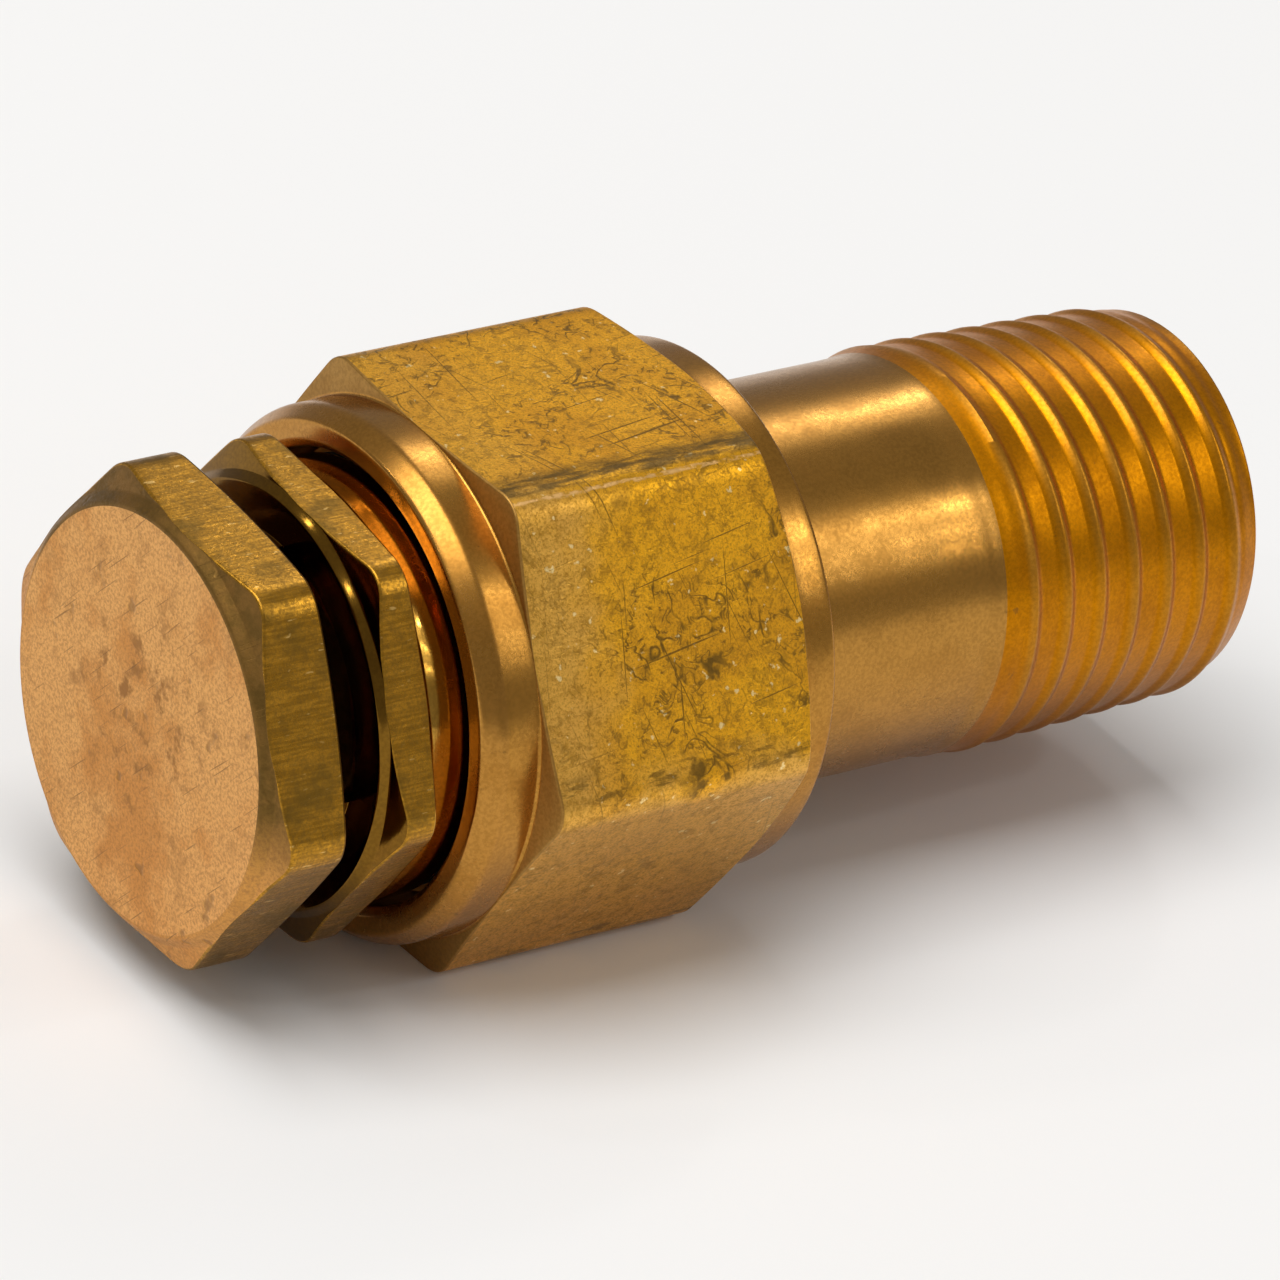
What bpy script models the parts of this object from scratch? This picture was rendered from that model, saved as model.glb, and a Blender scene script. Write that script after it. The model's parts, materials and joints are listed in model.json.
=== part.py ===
"""Automatic air vent: a brass hex body with a tapered pipe thread and a screwed-in hex vent head.

The head holds a pack of fibre discs that swell when wet and close the vent windows under the
cap. A sprung check plunger in the body closes the water way when the head is screwed out.

Lengths are metres. Every station is measured along the vent's axis from the middle of the
body's hexagon, negative towards the cap and positive towards the pipe thread. The axis lies
along world X, one half across-flats above the ground, so the body rests on a wrench flat.
"""

import math

import bmesh
import bpy
from mathutils import Matrix

MM = 0.001
GAP = 0.3 * MM

# Pipe thread: 1/4 in NPT, 18 threads per inch, 1 in 16 taper on the diameter.
PIPE_PITCH = 25.4 * MM / 18
PIPE_TAPER = 1 / 32
PIPE_DEPTH = 0.80 * PIPE_PITCH
PIPE_CREST = 0.20 * MM
PIPE_ROOT = 0.12 * MM
PIPE_END_R = 6.58 * MM

# Body stations and radii.
BODY_FLATS = 17.4625 * MM
BODY_CORNER_R = 1.1 * MM
BODY_FRONT = -6.90 * MM
BODY_END = 25.5 * MM
COLLAR_R = 8.70 * MM
COLLAR_END = 6.45 * MM
HEX_FRONT = -4.95 * MM
HEX_BACK = 5.25 * MM
NECK_R = 6.63 * MM
NECK_END = 14.3 * MM
THREAD_START = 15.4 * MM
COUNTERBORE_R = 7.40 * MM
COUNTERBORE_FLOOR = -4.6 * MM
HEAD_BORE_R = 6.0 * MM
HEAD_BORE_FLOOR = 2.2 * MM
BORE_R = 4.0 * MM
PORT_R = 2.4 * MM
PORT_START = 4.6 * MM
SEAT = 6.2 * MM
RING_GROOVE_R = 4.4 * MM
RING_GROOVE = (17.3 * MM, 18.1 * MM)

# Vent head.
HEAD_FLATS = 14.2875 * MM
HEAD_CORNER_R = 1.15 * MM
HEAD_TURNED = math.radians(4.0)
CAP_FACE = -14.1 * MM
CAP_FACE_R = 6.9 * MM
CAP_BEVEL = 0.35 * MM
CAP_SLOPE = 0.35
CAP_BACK = -11.3 * MM
STEM_R = 5.6 * MM
FLANGE_FRONT = -9.75 * MM
FLANGE_FRONT_R = 6.9 * MM
FLANGE_BEVEL = 0.26 * MM
FLANGE_BACK = -8.0 * MM
HEAD_COLLAR_R = 7.1 * MM
HEAD_COLLAR_BACK = -6.2 * MM
SPIGOT_R = 5.75 * MM
SPIGOT_THREAD_START = -4.2 * MM
SPIGOT_END = 1.6 * MM
HEAD_PITCH = 1.0 * MM
VENT_CHAMBER_R = 3.8 * MM
PACK_SHOULDER = -9.3 * MM
PACK_BORE_R = 4.5 * MM
WINDOW_WIDTH = 8.2 * MM
WINDOW_TURNED = math.radians(-40.0)
CIRCLIP_GROOVE_R = 4.9 * MM
CIRCLIP_GROOVE = (-1.15 * MM, -0.55 * MM)

# Fibre disc pack.
DISC_COUNT = 8
DISC_R = 4.3 * MM
DISC_HOLE_R = 1.0 * MM
DISC_THICK = 0.45 * MM
DISC_STEP = 0.70 * MM
FIRST_DISC = -8.2 * MM

HEX_CENTRE_X = -(CAP_FACE + BODY_END) / 2
AXIS_HEIGHT = BODY_FLATS / 2
ALONG_X = Matrix.Rotation(math.radians(90), 4, "Y")

# Reach of cutters, and of turned outlines that the hexagon bars then trim.
FAR = 12 * MM
PAST_BODY_HEX = 10.3 * MM
PAST_HEAD_HEX = 8.6 * MM


def clear_scene():
    for obj in list(bpy.data.objects):
        bpy.data.objects.remove(obj, do_unlink=True)


def new_collection(name):
    collection = bpy.data.collections.new(name)
    bpy.context.scene.collection.children.link(collection)
    return collection


def make_material(name, colour, roughness, metallic):
    material = bpy.data.materials.new(name)
    material.use_nodes = True
    shader = material.node_tree.nodes["Principled BSDF"]
    shader.inputs["Base Color"].default_value = (*colour, 1.0)
    shader.inputs["Roughness"].default_value = roughness
    shader.inputs["Metallic"].default_value = metallic
    return material


def add_object(name, mesh, material, collection):
    """An object whose local Z runs along the vent's axis, with local zero at the hex centre."""
    obj = bpy.data.objects.new(name, mesh)
    obj.matrix_world = Matrix.Translation((HEX_CENTRE_X, 0, AXIS_HEIGHT)) @ ALONG_X
    if material:
        mesh.materials.append(material)
    collection.objects.link(obj)
    return obj


def settle(obj):
    """Replaces the object's mesh with the one its modifiers make."""
    graph = bpy.context.evaluated_depsgraph_get()
    graph.update()
    mesh = bpy.data.meshes.new_from_object(obj.evaluated_get(graph))
    obj.modifiers.clear()
    obj.data = mesh


def shade(obj):
    obj.data.shade_smooth()
    obj.data.set_sharp_from_angle(angle=math.radians(25))


def profile_mesh(name, points, closed):
    """Turned profile in local XZ: each point is (station, radius)."""
    mesh = bpy.data.meshes.new(name)
    verts = [(radius, 0, station) for station, radius in points]
    edges = [(i, i + 1) for i in range(len(verts) - 1)]
    if closed:
        edges.append((len(verts) - 1, 0))
    mesh.from_pydata(verts, edges, [])
    return mesh


def turn(name, points, material, collection, closed=False, steps=48):
    """A turned piece. The points run down the outer side, from the highest station."""
    obj = add_object(name, profile_mesh(name, points, closed), material, collection)
    screw = obj.modifiers.new("turn", "SCREW")
    screw.axis = "Z"
    screw.angle = 2 * math.pi
    screw.steps = steps
    screw.render_steps = steps
    screw.use_merge_vertices = True
    screw.merge_threshold = 1e-6
    settle(obj)
    return obj


def ring_points(start, end, inner, outer):
    """Closed profile of a plain washer between two stations."""
    return [(end, inner), (end, outer), (start, outer), (start, inner)]


def hex_bar(name, flats, corner_r, start, end, turned, collection):
    """Drawn hexagon bar with rounded corners, two of them level with the axis."""
    bm = bmesh.new()
    bmesh.ops.create_cone(
        bm,
        cap_ends=True,
        segments=6,
        radius1=flats / math.sqrt(3),
        radius2=flats / math.sqrt(3),
        depth=end - start,
    )
    uprights = [e for e in bm.edges if abs(e.verts[0].co.z - e.verts[1].co.z) > GAP]
    bmesh.ops.bevel(
        bm,
        geom=uprights,
        offset=corner_r * math.tan(math.radians(30)),
        offset_type="OFFSET",
        segments=6,
        profile=0.5,
        affect="EDGES",
    )
    bmesh.ops.rotate(bm, verts=bm.verts, matrix=Matrix.Rotation(turned, 3, "Z"))
    bmesh.ops.translate(bm, verts=bm.verts, vec=(0, 0, (start + end) / 2))
    mesh = bpy.data.meshes.new(name)
    bm.to_mesh(mesh)
    bm.free()
    return add_object(name, mesh, None, collection)


def cut(obj, tool, operation="DIFFERENCE"):
    tool.hide_render = True
    tool.display_type = "WIRE"
    boolean = obj.modifiers.new(tool.name, "BOOLEAN")
    boolean.operation = operation
    boolean.object = tool
    boolean.solver = "EXACT"
    settle(obj)


def helix_groove(name, pitch, turns, start, section, radius_at, collection, steps=36):
    """Closed helical cutter. The section is (along, outwards) points about the groove's root.

    radius_at gives the root radius at each station, so the groove can taper and run out.
    """
    mesh = bpy.data.meshes.new(name)
    verts = [(1.0 + outwards, 0, along) for along, outwards in section]
    edges = [(i, (i + 1) % len(verts)) for i in range(len(verts))]
    mesh.from_pydata(verts, edges, [])
    obj = add_object(name, mesh, None, collection)
    screw = obj.modifiers.new("helix", "SCREW")
    screw.axis = "Z"
    screw.angle = 2 * math.pi * turns
    screw.screw_offset = pitch * turns
    screw.steps = round(steps * turns)
    screw.render_steps = screw.steps
    settle(obj)
    bm = bmesh.new()
    bm.from_mesh(obj.data)
    for vert in bm.verts:
        outwards = math.hypot(vert.co.x, vert.co.y) - 1.0
        vert.co.x, vert.co.y = (value / (1.0 + outwards) for value in vert.co.xy)
        radius = radius_at(vert.co.z + start) + outwards
        vert.co = (vert.co.x * radius, vert.co.y * radius, vert.co.z + start)
    bmesh.ops.holes_fill(bm, edges=[e for e in bm.edges if e.is_boundary], sides=0)
    bmesh.ops.recalc_face_normals(bm, faces=bm.faces)
    bm.to_mesh(obj.data)
    bm.free()
    return obj


def vee(depth, root, mouth):
    """Groove section, wider than the groove is deep so that it clears the crest."""
    spare = 0.3 * depth
    half_top = mouth / 2 + spare * (mouth - root) / (2 * depth)
    return [(-root / 2, 0), (root / 2, 0), (half_top, depth + spare), (-half_top, depth + spare)]


def pipe_crest(station):
    return PIPE_END_R + (BODY_END - 0.7 * MM - station) * PIPE_TAPER


def pipe_root(station):
    """Root of the pipe thread, lifted out of the metal where the die ran out at the neck."""
    run_out = max(0.0, (THREAD_START + 0.4 * MM - station) / PIPE_PITCH)
    return pipe_crest(station) - PIPE_DEPTH + min(run_out, 1.5) * PIPE_DEPTH


def body_outline():
    end_bevel = 0.7 * MM
    return [
        (BODY_END, 0),
        (BODY_END, PIPE_END_R - 0.25 * MM),
        (BODY_END - end_bevel, PIPE_END_R),
        (THREAD_START, pipe_crest(THREAD_START)),
        (NECK_END + 0.5 * MM, NECK_R + 0.07 * MM),
        (NECK_END, NECK_R),
        (COLLAR_END + 0.35 * MM, NECK_R),
        (COLLAR_END + 0.10 * MM, NECK_R + 0.10 * MM),
        (COLLAR_END, NECK_R + 0.35 * MM),
        (COLLAR_END, COLLAR_R - 0.12 * MM),
        (COLLAR_END - 0.12 * MM, COLLAR_R),
        (HEX_BACK, COLLAR_R),
        (HEX_BACK - 0.65 * MM, PAST_BODY_HEX),
        (HEX_FRONT + 0.25 * MM, PAST_BODY_HEX),
        (HEX_FRONT, COLLAR_R),
        (-6.35 * MM, COLLAR_R),
        (BODY_FRONT, 8.3 * MM),
        (BODY_FRONT, 0),
    ]


def body_bore():
    beyond = 1 * MM
    return [
        (BODY_END + beyond, 0),
        (BODY_END + beyond, BORE_R + 0.4 * MM + beyond),
        (BODY_END - 0.4 * MM, BORE_R),
        (RING_GROOVE[1], BORE_R),
        (RING_GROOVE[1], RING_GROOVE_R),
        (RING_GROOVE[0], RING_GROOVE_R),
        (RING_GROOVE[0], BORE_R),
        (SEAT, BORE_R),
        (SEAT, PORT_R),
        (PORT_START, PORT_R),
        (PORT_START, BORE_R),
        (HEAD_BORE_FLOOR, BORE_R),
        (HEAD_BORE_FLOOR, HEAD_BORE_R),
        (COUNTERBORE_FLOOR, HEAD_BORE_R),
        (COUNTERBORE_FLOOR, COUNTERBORE_R),
        (BODY_FRONT - beyond, COUNTERBORE_R),
        (BODY_FRONT - beyond, 0),
    ]


def make_body(parts, cutters, brass):
    body = turn("valve_body", body_outline(), brass, parts, steps=64)
    bar = hex_bar("body_bar", BODY_FLATS, BODY_CORNER_R, -FAR, BODY_END + FAR, 0, cutters)
    cut(body, bar, "INTERSECT")
    cut(body, turn("body_bore", body_bore(), None, cutters, steps=48))
    start = THREAD_START - 1.3 * PIPE_PITCH
    turns = (BODY_END - start) / PIPE_PITCH + 0.6
    section = vee(PIPE_DEPTH, PIPE_ROOT, PIPE_PITCH - PIPE_CREST)
    cut(body, helix_groove("pipe_thread", PIPE_PITCH, turns, start, section, pipe_root, cutters))
    shade(body)


def head_outline():
    relief_r = 5.3 * MM
    shoulder, shoulder_r = CAP_FACE + CAP_BEVEL, CAP_FACE_R + CAP_BEVEL
    flange, flange_r = FLANGE_FRONT + FLANGE_BEVEL, FLANGE_FRONT_R + FLANGE_BEVEL
    return [
        (SPIGOT_END, 0),
        (SPIGOT_END, SPIGOT_R - 0.5 * MM),
        (SPIGOT_END - 0.5 * MM, SPIGOT_R),
        (SPIGOT_THREAD_START, SPIGOT_R),
        (SPIGOT_THREAD_START - 0.4 * MM, relief_r),
        (HEAD_COLLAR_BACK, relief_r),
        (HEAD_COLLAR_BACK, HEAD_COLLAR_R - 0.15 * MM),
        (HEAD_COLLAR_BACK - 0.15 * MM, HEAD_COLLAR_R),
        (FLANGE_BACK + 0.10 * MM, HEAD_COLLAR_R),
        (FLANGE_BACK - 0.25 * MM, PAST_HEAD_HEX),
        (flange + (PAST_HEAD_HEX - flange_r) * CAP_SLOPE, PAST_HEAD_HEX),
        (flange, flange_r),
        (FLANGE_FRONT, FLANGE_FRONT_R),
        (FLANGE_FRONT, STEM_R),
        (CAP_BACK, STEM_R),
        (CAP_BACK, 7.9 * MM),
        (CAP_BACK - 0.25 * MM, PAST_HEAD_HEX),
        (shoulder + (PAST_HEAD_HEX - shoulder_r) * CAP_SLOPE, PAST_HEAD_HEX),
        (shoulder, shoulder_r),
        (CAP_FACE, CAP_FACE_R),
        (CAP_FACE, 0),
    ]


def head_bore():
    beyond = 1 * MM
    return [
        (SPIGOT_END + beyond, 0),
        (SPIGOT_END + beyond, PACK_BORE_R),
        (CIRCLIP_GROOVE[1], PACK_BORE_R),
        (CIRCLIP_GROOVE[1], CIRCLIP_GROOVE_R),
        (CIRCLIP_GROOVE[0], CIRCLIP_GROOVE_R),
        (CIRCLIP_GROOVE[0], PACK_BORE_R),
        (PACK_SHOULDER, PACK_BORE_R),
        (PACK_SHOULDER, VENT_CHAMBER_R),
        (CAP_BACK, VENT_CHAMBER_R),
        (CAP_BACK - 0.5 * MM, VENT_CHAMBER_R - 0.5 * MM),
        (CAP_BACK - 0.5 * MM, 0),
    ]


def spigot_root(station):
    depth = 0.5 * HEAD_PITCH
    run_out = max(0.0, (SPIGOT_THREAD_START + 0.3 * MM - station) / HEAD_PITCH)
    return SPIGOT_R - depth + min(run_out, 1.5) * depth


def window_tool(cutters):
    """One box right through the stem, which makes a window on each side of it."""
    bm = bmesh.new()
    bmesh.ops.create_cube(bm, size=1.0)
    height = FLANGE_FRONT - CAP_BACK
    bmesh.ops.scale(bm, verts=bm.verts, vec=(WINDOW_WIDTH, 2 * FAR, height))
    bmesh.ops.rotate(bm, verts=bm.verts, matrix=Matrix.Rotation(WINDOW_TURNED, 3, "Z"))
    bmesh.ops.translate(bm, verts=bm.verts, vec=(0, 0, (FLANGE_FRONT + CAP_BACK) / 2))
    mesh = bpy.data.meshes.new("windows")
    bm.to_mesh(mesh)
    bm.free()
    return add_object("windows", mesh, None, cutters)


def make_head(parts, cutters, brass):
    head = turn("vent_head", head_outline(), brass, parts, steps=48)
    bar = hex_bar("head_bar", HEAD_FLATS, HEAD_CORNER_R, -2 * FAR, FAR, HEAD_TURNED, cutters)
    cut(head, bar, "INTERSECT")
    cut(head, turn("head_bore", head_bore(), None, cutters))
    cut(head, window_tool(cutters))
    turns = (SPIGOT_END - SPIGOT_THREAD_START) / HEAD_PITCH + 1.5
    section = vee(0.5 * HEAD_PITCH, 0.15 * MM, HEAD_PITCH - 0.25 * MM)
    start = SPIGOT_THREAD_START - 0.5 * HEAD_PITCH
    thread = helix_groove(
        "spigot_thread", HEAD_PITCH, turns, start, section, spigot_root, cutters, steps=30
    )
    cut(head, thread)
    shade(head)


def torus(name, station, ring_r, wire_r, material, parts):
    bpy.ops.mesh.primitive_torus_add(
        major_radius=ring_r,
        minor_radius=wire_r,
        major_segments=40,
        minor_segments=12,
    )
    ring = bpy.context.object
    mesh = ring.data
    bpy.data.objects.remove(ring)
    mesh.transform(Matrix.Translation((0, 0, station)))
    shade(add_object(name, mesh, material, parts))


def drill(obj, count, circle_r, hole_r, start, end, cutters):
    """A ring of equal holes, cut one after another."""
    for index in range(count):
        angle = 2 * math.pi * index / count
        bm = bmesh.new()
        bmesh.ops.create_cone(
            bm, cap_ends=True, segments=16, radius1=hole_r, radius2=hole_r, depth=end - start + MM
        )
        place = (circle_r * math.cos(angle), circle_r * math.sin(angle), (start + end) / 2)
        bmesh.ops.translate(bm, verts=bm.verts, vec=place)
        mesh = bpy.data.meshes.new(f"{obj.name}_hole_{index + 1}")
        bm.to_mesh(mesh)
        bm.free()
        cut(obj, add_object(mesh.name, mesh, None, cutters))


def make_discs(parts, fibre):
    for index in range(DISC_COUNT):
        start = FIRST_DISC + index * DISC_STEP
        points = ring_points(start, start + DISC_THICK, DISC_HOLE_R, DISC_R)
        shade(turn(f"fibre_disc_{index + 1}", points, fibre, parts, closed=True, steps=32))


def make_front_washer(parts, cutters, brass):
    start, end = PACK_SHOULDER + GAP, PACK_SHOULDER + GAP + 0.5 * MM
    points = [(end, 0), (end, DISC_R), (start, DISC_R), (start, 0)]
    washer = turn("front_washer", points, brass, parts, steps=32)
    drill(washer, 6, 2.4 * MM, 0.6 * MM, start, end, cutters)
    shade(washer)


def make_rear_washer(parts, cutters, brass):
    start, end, boss = -1.95 * MM, -1.35 * MM, -0.70 * MM
    points = [
        (boss, 0),
        (boss, 1.2 * MM),
        (end, 1.2 * MM),
        (end, DISC_R),
        (start, DISC_R),
        (start, 0),
    ]
    washer = turn("rear_washer", points, brass, parts, steps=32)
    drill(washer, 6, 2.7 * MM, 0.6 * MM, start, end, cutters)
    shade(washer)


def make_spring_washer(parts, steel):
    """Dished washer that keeps the disc pack pressed together."""
    low, high, dish, thick = 2.6 * MM, 4.2 * MM, 0.15 * MM, 0.2 * MM
    start = -2.55 * MM
    points = [
        (start + thick, low),
        (start + thick + dish, high),
        (start + dish, high),
        (start, low),
    ]
    shade(turn("pack_spring_washer", points, steel, parts, closed=True, steps=32))


def split_ring(name, start, end, inner, outer, slot, steel, parts, cutters):
    """Snap ring: a plain ring with a slot cut across one side."""
    ring = turn(name, ring_points(start, end, inner, outer), steel, parts, closed=True, steps=40)
    bm = bmesh.new()
    bmesh.ops.create_cube(bm, size=1.0)
    bmesh.ops.scale(bm, verts=bm.verts, vec=(slot, 2 * outer, 4 * MM))
    bmesh.ops.translate(bm, verts=bm.verts, vec=(0, outer, (start + end) / 2))
    mesh = bpy.data.meshes.new(f"{name}_slot")
    bm.to_mesh(mesh)
    bm.free()
    cut(ring, add_object(mesh.name, mesh, None, cutters))
    shade(ring)


def make_plunger(parts, brass):
    disc_start, disc_end = 8.85 * MM, 9.95 * MM
    points = [
        (17.9 * MM, 0),
        (17.9 * MM, 0.8 * MM),
        (17.6 * MM, 1.1 * MM),
        (disc_end, 1.1 * MM),
        (disc_end, 3.2 * MM),
        (disc_end - 0.2 * MM, 3.4 * MM),
        (disc_start, 3.4 * MM),
        (disc_start, 1.0 * MM),
        (-0.20 * MM, 1.0 * MM),
        (-0.40 * MM, 0.8 * MM),
        (-0.40 * MM, 0),
    ]
    shade(turn("check_plunger", points, brass, parts, steps=24))


def make_plunger_seal(parts, rubber):
    start, end = 7.75 * MM, 8.55 * MM
    points = [
        (end, 1.25 * MM),
        (end, 3.3 * MM),
        (start + 0.2 * MM, 3.3 * MM),
        (start, 3.1 * MM),
        (start, 1.25 * MM),
    ]
    shade(turn("plunger_seal", points, rubber, parts, closed=True, steps=32))


def make_return_spring(parts, steel):
    """Open coil from the plunger to the cage, with flat closing turns at both ends."""
    start, end, radius, wire = 10.55 * MM, 15.35 * MM, 2.4 * MM, 0.25 * MM
    turns, per_turn = 6.0, 16
    count = round(turns * per_turn) + 1
    curve = bpy.data.curves.new("return_spring", "CURVE")
    curve.dimensions = "3D"
    curve.bevel_depth = wire
    curve.bevel_resolution = 1
    curve.use_fill_caps = True
    spline = curve.splines.new("POLY")
    spline.points.add(count - 1)
    for index in range(count):
        turned = index / per_turn
        along = min(max((turned - 0.75) / (turns - 1.5), 0.0), 1.0)
        lead = 0.55 * MM * (min(turned, 0.75) + max(turned - turns + 0.75, 0.0)) / 0.75
        angle = 2 * math.pi * turned
        station = start + lead + along * (end - start - 1.1 * MM)
        spline.points[index].co = (radius * math.cos(angle), radius * math.sin(angle), station, 1)
    holder = bpy.data.objects.new("return_spring_path", curve)
    bpy.context.scene.collection.objects.link(holder)
    graph = bpy.context.evaluated_depsgraph_get()
    graph.update()
    mesh = bpy.data.meshes.new_from_object(holder.evaluated_get(graph))
    bpy.data.objects.remove(holder)
    bm = bmesh.new()
    bm.from_mesh(mesh)
    bmesh.ops.remove_doubles(bm, verts=bm.verts, dist=1e-7)
    bmesh.ops.recalc_face_normals(bm, faces=bm.faces)
    bm.to_mesh(mesh)
    bm.free()
    mesh.name = "return_spring"
    mesh.materials.clear()
    shade(add_object("return_spring", mesh, steel, parts))


def make_spring_cage(parts, cutters, brass):
    start, end = 15.9 * MM, 17.1 * MM
    points = ring_points(start, end, 1.35 * MM, BORE_R - 0.1 * MM)
    cage = turn("spring_cage", points, brass, parts, closed=True, steps=40)
    drill(cage, 4, 2.65 * MM, 0.7 * MM, start, end, cutters)
    shade(cage)


def build():
    clear_scene()
    parts = new_collection("automatic_air_vent")
    cutters = new_collection("cutters")
    body_brass = make_material("body_brass", (0.66, 0.44, 0.16), 0.32, 1.0)
    head_brass = make_material("head_brass", (0.70, 0.43, 0.19), 0.36, 1.0)
    inner_brass = make_material("inner_brass", (0.74, 0.55, 0.26), 0.30, 1.0)
    steel = make_material("spring_steel", (0.56, 0.57, 0.58), 0.28, 1.0)
    rubber = make_material("black_rubber", (0.02, 0.02, 0.022), 0.65, 0.0)
    fibre = make_material("vulcanised_fibre", (0.42, 0.12, 0.07), 0.75, 0.0)
    make_body(parts, cutters, body_brass)
    make_head(parts, cutters, head_brass)
    torus("head_o_ring", -5.4 * MM, 6.45 * MM, 0.55 * MM, rubber, parts)
    make_discs(parts, fibre)
    make_front_washer(parts, cutters, inner_brass)
    make_rear_washer(parts, cutters, inner_brass)
    make_spring_washer(parts, steel)
    clip = (-1.05 * MM, -0.65 * MM)
    split_ring("pack_circlip", *clip, 3.7 * MM, 4.75 * MM, 2.0 * MM, steel, parts, cutters)
    make_plunger(parts, inner_brass)
    make_plunger_seal(parts, rubber)
    make_return_spring(parts, steel)
    make_spring_cage(parts, cutters, inner_brass)
    clip = (17.4 * MM, 18.0 * MM)
    split_ring("cage_snap_ring", *clip, 3.2 * MM, 4.25 * MM, 1.8 * MM, steel, parts, cutters)


build()
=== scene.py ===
"""Looks of the automatic air vent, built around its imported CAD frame.

The body and the head get finer meshes than the CAD solids they stand for. Everything is worked
out along the vent's axis in millimetres from the middle of the body's hexagon, negative towards
the cap, and then placed in the frame's metres.
"""

import json
import math

import bmesh
import bpy
import numpy as np
from mathutils import Matrix, Vector


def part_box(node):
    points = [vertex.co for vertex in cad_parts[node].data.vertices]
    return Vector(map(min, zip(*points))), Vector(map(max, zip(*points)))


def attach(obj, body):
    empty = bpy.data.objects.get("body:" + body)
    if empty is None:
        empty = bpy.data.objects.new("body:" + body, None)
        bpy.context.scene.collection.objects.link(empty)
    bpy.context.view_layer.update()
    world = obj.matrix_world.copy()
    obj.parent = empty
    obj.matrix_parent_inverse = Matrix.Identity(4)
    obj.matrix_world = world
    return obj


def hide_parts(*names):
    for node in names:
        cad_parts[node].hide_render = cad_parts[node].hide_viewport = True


MM = 0.001

# Body: stations and radii in millimetres, angles in degrees. Each chamfer is how far its end
# of the hexagon slopes in, from the middle of a flat to a corner.
BODY_FLATS = 17.4625
BODY_CORNER_R = 1.21
BODY_FRONT = -6.90
BODY_END = 25.5
COLLAR_R = 8.70
COLLAR_END = 6.45
HEX_FRONT = -4.95
HEX_BACK = 5.25
HEX_MIDDLE_R = 8.73
HEX_CORNER_R = 9.91
FRONT_CHAMFER = 0.20
BACK_CHAMFER = 0.50
NECK_R = 6.63
NECK_END = 14.3
COUNTERBORE_R = 7.36
COUNTERBORE_FLOOR = -4.6
HEAD_BORE_R = 6.0
HEAD_BORE_FLOOR = 2.2
BORE_R = 4.0
PORT_R = 2.4
PORT_START = 4.6
SEAT = 6.2
RING_GROOVE_R = 4.4
RING_GROOVE = (17.3, 18.1)

# Pipe thread. The flank is a part of the pitch, from the middle of the crest to the root.
PIPE_PITCH = 25.4 / 18
PIPE_TAPER = 1 / 32
PIPE_START = 15.4
PIPE_END_R = 6.58
PIPE_BEVEL = 0.7
PIPE_DEPTH = 0.15
PIPE_PHASE = 0.21
PIPE_FLANK = 0.27
PIPE_RUN_OUT = (13.9, 16.3)

# Head. The window cut is the length of the tool that goes right through it.
HEAD_FLATS = 14.2875
HEAD_CORNER_R = 1.25
HEAD_TURNED = 4.0
CAP_FACE = -14.1
CAP_FACE_R = 6.9
CAP_BEVEL = 0.35
CAP_SLOPE = 0.35
CAP_BACK = -11.3
CAP_BACK_R = 7.0
CAP_BACK_SLOPE = 0.2
STEM_R = 5.6
WINDOW_WIDTH = 8.2
WINDOW_CUT = 30
WINDOW_TURNED = -40.0
FLANGE_FRONT = -9.75
FLANGE_FRONT_R = 6.9
FLANGE_BEVEL = 0.26
FLANGE_BACK = -8.0
FLANGE_BACK_R = 7.1
FLANGE_BACK_SLOPE = 0.17
HEAD_COLLAR_R = 7.12
HEAD_COLLAR_FRONT = -7.95
HEAD_COLLAR_BACK = -6.2
RELIEF_R = 5.3
SPIGOT_R = 5.75
SPIGOT_END = 1.6
SPIGOT_BEVEL = 0.5
VENT_CHAMBER_R = 3.8
VENT_CHAMBER_BEVEL = 0.5
PACK_SHOULDER = -9.3
PACK_BORE_R = 4.5
CIRCLIP_GROOVE_R = 4.9
CIRCLIP_GROOVE = (-1.15, -0.55)

# The head's thread on its spigot.
HEAD_THREAD_START = -4.2
HEAD_THREAD_RUN_OUT = 0.6
HEAD_THREAD_DEPTH = 0.5
HEAD_THREAD_ROOT = 0.15
HEAD_THREAD_CREST = 0.25
HEAD_PITCH = 1.0

# Angle of the body's upper front corner.
UPPER_CORNER = 60.0

# Radius at which the bar's skin is laid flat for its long scratches.
SKIN_R = 8

# Mesh making: how far a bevel stays inside its hexagon, the share of an edge that one rounding
# may take up, the merge distance in metres, and the angle over which an edge stays sharp.
SHORT_OF_FLAT = 0.02
MOST_ROUNDED = 0.45
MERGE_DISTANCE = 2e-7
SHARP = math.radians(35)

# Camera, aimed at the middle of the body's hexagon. Lengths are metres, the lens millimetres.
CAMERA_AZIMUTH = math.radians(-39.57)
CAMERA_ELEVATION = math.radians(29.96)
CAMERA_ROLL = math.radians(9.66)
CAMERA_ASIDE = 4.11 * MM
CAMERA_ABOVE = -0.07 * MM
CAMERA_DISTANCE = 302.47 * MM
CAMERA_LENS = 267.2

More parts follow.
